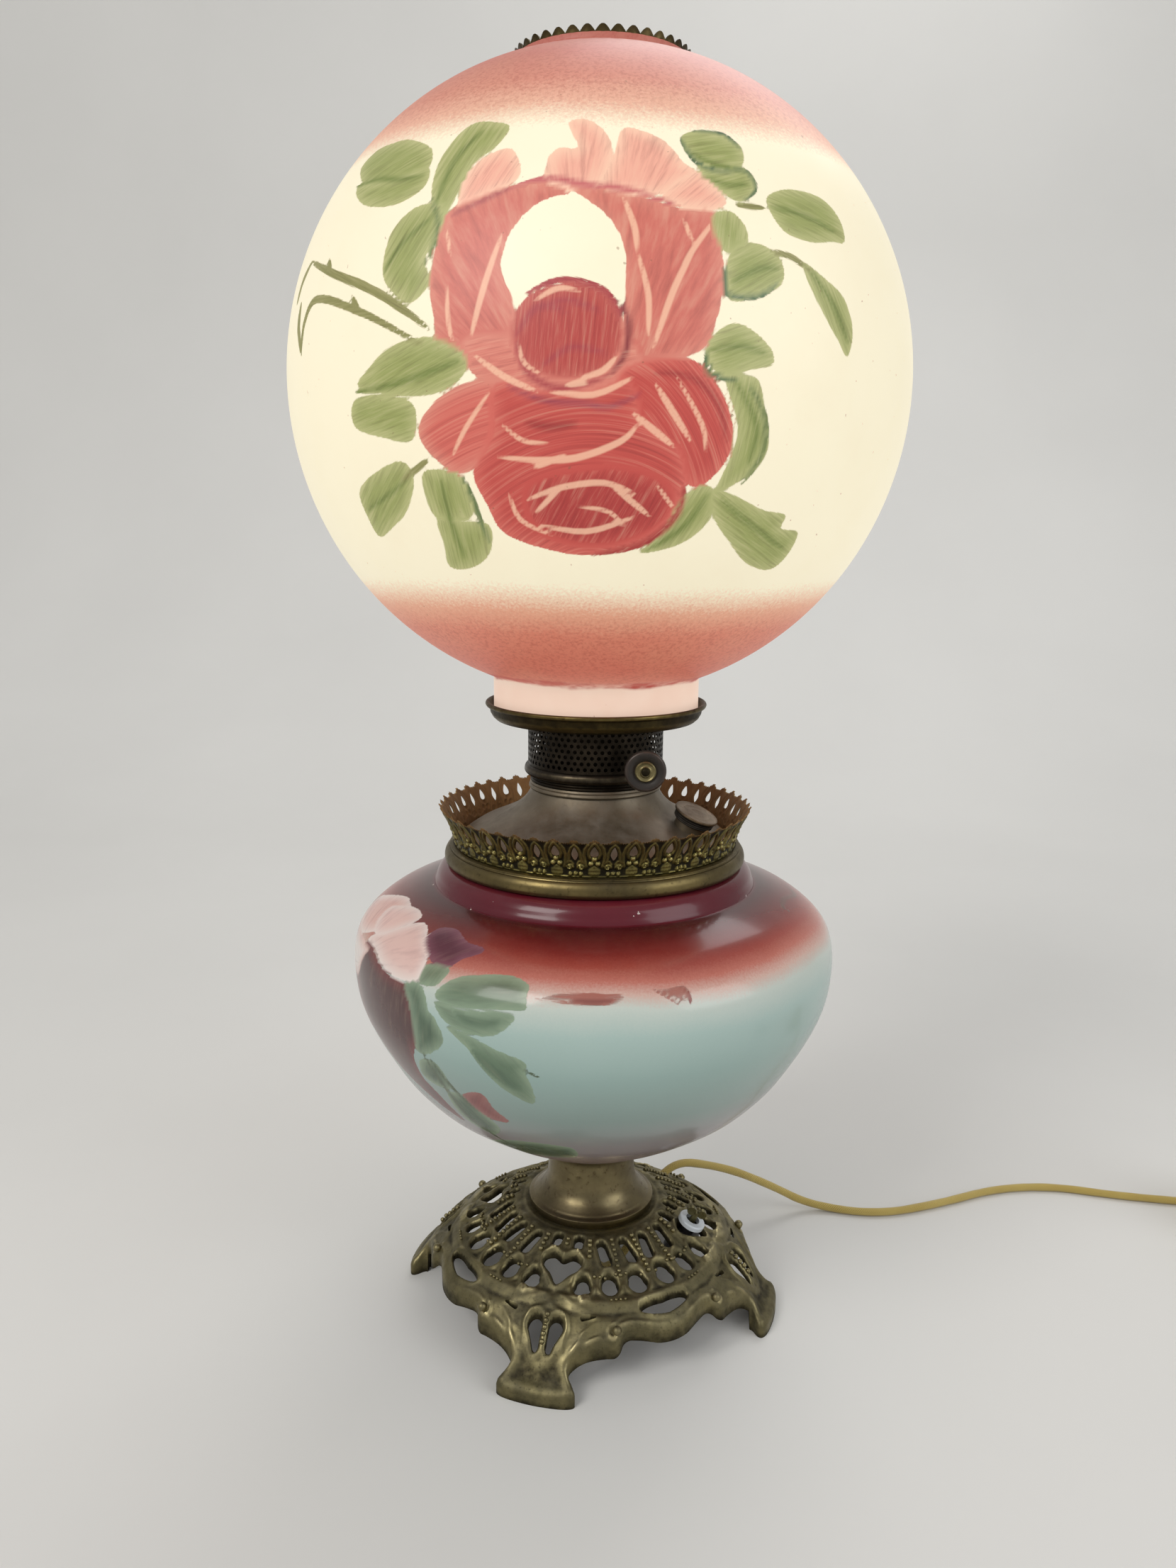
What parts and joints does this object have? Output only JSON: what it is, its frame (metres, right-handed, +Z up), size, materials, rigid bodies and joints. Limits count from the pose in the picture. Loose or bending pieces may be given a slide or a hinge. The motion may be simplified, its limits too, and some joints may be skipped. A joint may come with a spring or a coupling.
{
  "type": "parlor lamp",
  "caption": "Electrified parlor lamp: painted ball globe on a dished ring, burner and drop-in font, painted vase with pierced crown, stem and pierced four-footed cast base.",
  "frame": {"origin": "on the table under the lamp's axis, at the soles of the feet", "axes": "+Z up the lamp, -Y to the front, where the wick knob faces, +X to the viewer's right"},
  "size_m": [0.5556, 0.2831, 0.599],
  "materials": {
    "cast_brass": "aged, olive in the hollows, rubbed bright on the beads",
    "spun_brass": "aged, softly polished",
    "crown_brass": "brassy outside, rusty brown inside",
    "tarnished_font": "dull, tarnished",
    "burner_bronze": "blackened",
    "bright_brass": "satin",
    "steel": "plain",
    "vase_glass": "glossy painted milk glass",
    "globe_glass": "satin painted milk glass, lit from inside",
    "bulb_glass": "frosted",
    "cotton": "woven",
    "cork": "cork",
    "paper": "pressed paper",
    "dark_plastic": "moulded",
    "white_plastic": "moulded",
    "gold_cord": "gold covered twin cord",
    "brown_plastic": "moulded",
    "tie_plastic": "flat strap"
  },
  "bodies": {
    "lamp": {"cast_base": "cast_brass", "stem": "spun_brass", "collar_ring": "spun_brass", "crown_gallery": "crown_brass", "font": "tarnished_font", "font_collar": "tarnished_font", "filler_neck": "tarnished_font", "burner_base": "burner_bronze", "burner_basket": "burner_bronze", "shade_ring": "burner_bronze", "shade_washer": "burner_bronze", "socket_cap": "bright_brass", "socket_shell": "bright_brass", "screw_shell": "bright_brass", "plug_blade_left": "bright_brass", "plug_blade_right": "bright_brass", "socket_contact": "bright_brass", "draft_tube": "bright_brass", "lamp_pipe": "steel", "base_nut": "steel", "base_washer": "steel", "lock_nut": "steel", "shaft_bearing": "steel", "vase": "vase_glass", "socket_liner": "paper", "socket_core": "dark_plastic", "switch_body": "dark_plastic", "cord_bushing": "dark_plastic", "switch_bezel": "white_plastic", "cord": "gold_cord", "cord_coil": "gold_cord", "cord_tail": "gold_cord", "plug_body": "brown_plastic", "cord_tie": "tie_plastic"},
    "globe": {"globe": "globe_glass", "globe_top_ring": "crown_brass"},
    "bulb": {"bulb_base": "bright_brass", "bulb_glass": "bulb_glass", "bulb_stem": "bulb_glass"},
    "wick_knob": {"knob_rim": "burner_bronze", "knob_boss": "bright_brass", "knob_shaft": "steel", "wick_pinion": "steel"},
    "wick_lifter": {"wick": "cotton", "wick_carrier": "bright_brass"},
    "cap_gasket": {"filler_gasket": "cork"},
    "cap": {"filler_cap": "tarnished_font"},
    "key": {"switch_key": "bright_brass"}
  },
  "joints": [
    {"name": "globe_lift", "type": "slide", "parent": "lamp", "child": "globe", "axis": [0, 0, 1], "range_m": [0, 0.16]},
    {"name": "bulb_lift", "type": "slide", "parent": "lamp", "child": "bulb", "axis": [0, 0, 1], "range_m": [0, 0.04]},
    {"name": "wick_turn", "type": "hinge", "parent": "lamp", "child": "wick_knob", "pos_m": [0.0227, -0.043, 0.2898], "axis": [0, 1, 0], "range_deg": [0, 137]},
    {"name": "wick_lift", "type": "slide", "parent": "lamp", "child": "wick_lifter", "axis": [0, 0, 1], "range_m": [0, 0.012]},
    {"name": "cap_lift", "type": "slide", "parent": "lamp", "child": "cap_gasket", "axis": [0.3686, -0.1719, 0.9135], "range_m": [0, 0.0031]},
    {"name": "cap_turn", "type": "hinge", "parent": "cap_gasket", "child": "cap", "pos_m": [0.04532, -0.02113, 0.2579], "axis": [0.3686, -0.1719, 0.9135], "range_deg": [0, 720]},
    {"name": "switch_turn", "type": "hinge", "parent": "lamp", "child": "key", "pos_m": [0.05153, -0.01546, 0.0465], "axis": [0.4048, -0.1214, 0.9063], "continuous": true}
  ],
  "couplings": [
    {"joint": "wick_lift", "follows": "wick_turn", "m_per_rad": 0.005},
    {"joint": "cap_lift", "follows": "cap_turn", "m_per_rad": 0.00023873}
  ]
}
